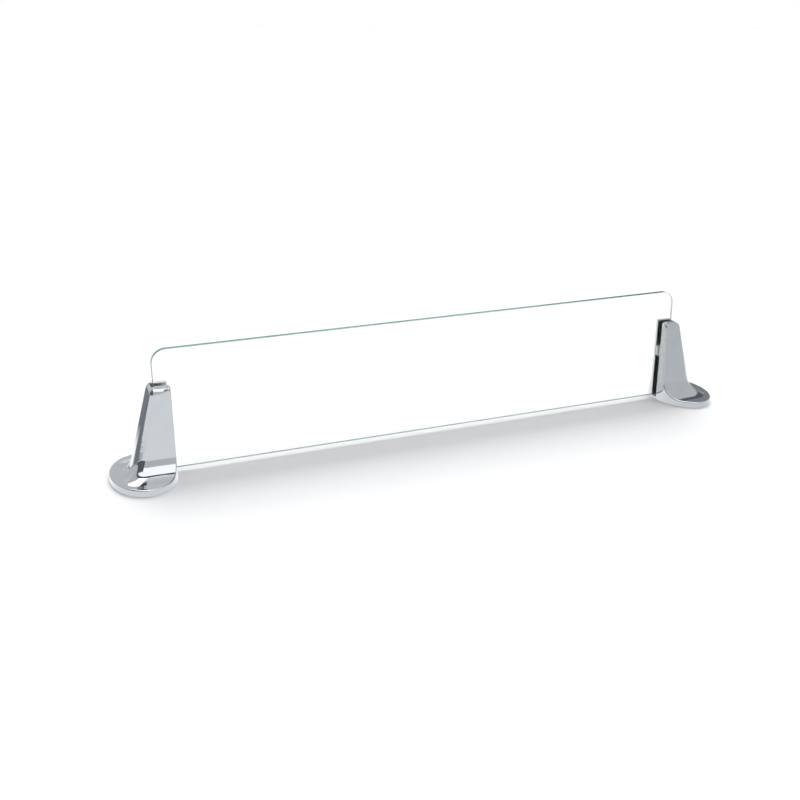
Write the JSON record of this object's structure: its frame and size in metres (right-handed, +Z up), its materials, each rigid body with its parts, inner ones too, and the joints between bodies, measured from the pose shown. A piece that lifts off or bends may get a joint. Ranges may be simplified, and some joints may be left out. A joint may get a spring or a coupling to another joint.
{
  "type": "sneeze guard",
  "caption": "Low counter-top sneeze guard: a clear glass panel with rounded upper corners stands in two slotted chrome brackets on oval bases.",
  "frame": {"origin": "middle of the two bases at counter level", "axes": "+X along the glass, -Y towards the customers' side that the picture shows, +Z up"},
  "size_m": [0.815, 0.11, 0.152],
  "materials": {
    "clear_glass": "clear toughened float glass with polished edges, green at the edge",
    "chrome_plate": "bright chrome plate on a polished zinc casting",
    "natural_nylon": "milky natural nylon",
    "stainless_steel": "turned stainless steel",
    "brass": "turned brass",
    "clear_silicone": "translucent silicone",
    "cast_iron": "plain casting",
    "zinc_plated_steel": "zinc-plated sheet",
    "black_rubber": "matt black rubber"
  },
  "bodies": {
    "stand": {"left_bracket": "chrome_plate", "left_front_pad": "natural_nylon", "left_clamp_bush": "brass", "left_setting_block": "clear_silicone", "left_end_cushion": "clear_silicone", "left_base_weight": "cast_iron", "left_base_cover": "zinc_plated_steel", "left_cover_screw_1": "stainless_steel", "left_cover_screw_2": "stainless_steel", "left_cover_screw_3": "stainless_steel", "left_foot_1": "black_rubber", "left_foot_2": "black_rubber", "left_foot_3": "black_rubber", "left_foot_4": "black_rubber", "right_bracket": "chrome_plate", "right_front_pad": "natural_nylon", "right_clamp_bush": "brass", "right_setting_block": "clear_silicone", "right_end_cushion": "clear_silicone", "right_base_weight": "cast_iron", "right_base_cover": "zinc_plated_steel", "right_cover_screw_1": "stainless_steel", "right_cover_screw_2": "stainless_steel", "right_cover_screw_3": "stainless_steel", "right_foot_1": "black_rubber", "right_foot_2": "black_rubber", "right_foot_3": "black_rubber", "right_foot_4": "black_rubber"},
    "glass": {"glass_panel": "clear_glass"},
    "left_pad": {"left_clamp_pad": "natural_nylon"},
    "left_screw": {"left_clamp_screw": "stainless_steel"},
    "right_pad": {"right_clamp_pad": "natural_nylon"},
    "right_screw": {"right_clamp_screw": "stainless_steel"}
  },
  "joints": [
    {"name": "glass_lift", "type": "slide", "parent": "stand", "child": "glass", "axis": [0, 0, 1], "range_m": [0, 0.15]},
    {"name": "left_clamp_travel", "type": "slide", "parent": "stand", "child": "left_pad", "axis": [0, 1, 0], "range_m": [0, 0.001]},
    {"name": "left_clamp_turn", "type": "hinge", "parent": "left_pad", "child": "left_screw", "pos_m": [-0.3393, 0.016, 0.068], "axis": [0, 1, 0], "range_deg": [0, 360]},
    {"name": "right_clamp_travel", "type": "slide", "parent": "stand", "child": "right_pad", "axis": [0, 1, 0], "range_m": [0, 0.001]},
    {"name": "right_clamp_turn", "type": "hinge", "parent": "right_pad", "child": "right_screw", "pos_m": [0.3393, 0.016, 0.068], "axis": [0, 1, 0], "range_deg": [0, 360]}
  ],
  "couplings": [
    {"joint": "left_clamp_turn", "follows": "left_clamp_travel", "rad_per_m": 6283.2},
    {"joint": "right_clamp_turn", "follows": "right_clamp_travel", "rad_per_m": 6283.2}
  ]
}
